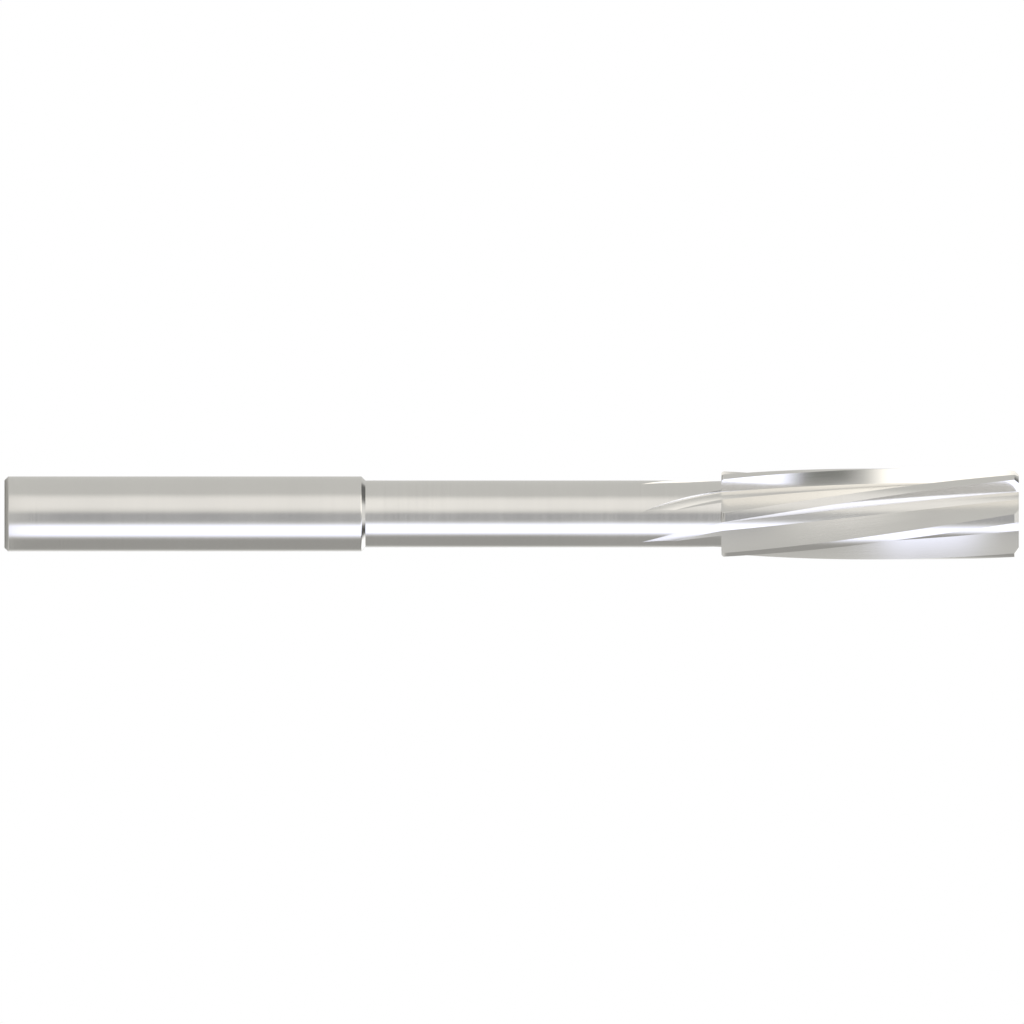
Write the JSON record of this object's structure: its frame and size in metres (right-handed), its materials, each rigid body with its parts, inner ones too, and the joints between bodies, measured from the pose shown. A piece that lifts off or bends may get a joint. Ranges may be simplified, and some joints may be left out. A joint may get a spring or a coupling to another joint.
{
  "type": "machine reamer",
  "caption": "Straight-shank machine reamer with a slim neck and a short head of left-hand helical flutes that run out on the neck.",
  "frame": {"origin": "centre of the flat shank end face, on the tool's axis", "axes": "+Z along the axis from the shank to the cutting end; +X through the start of one cutting edge at the tip"},
  "size_m": [0.0144, 0.0144, 0.162],
  "materials": {
    "ground_steel": "ground high-speed steel"
  },
  "bodies": {
    "root": {"reamer": "ground_steel"}
  },
  "joints": []
}
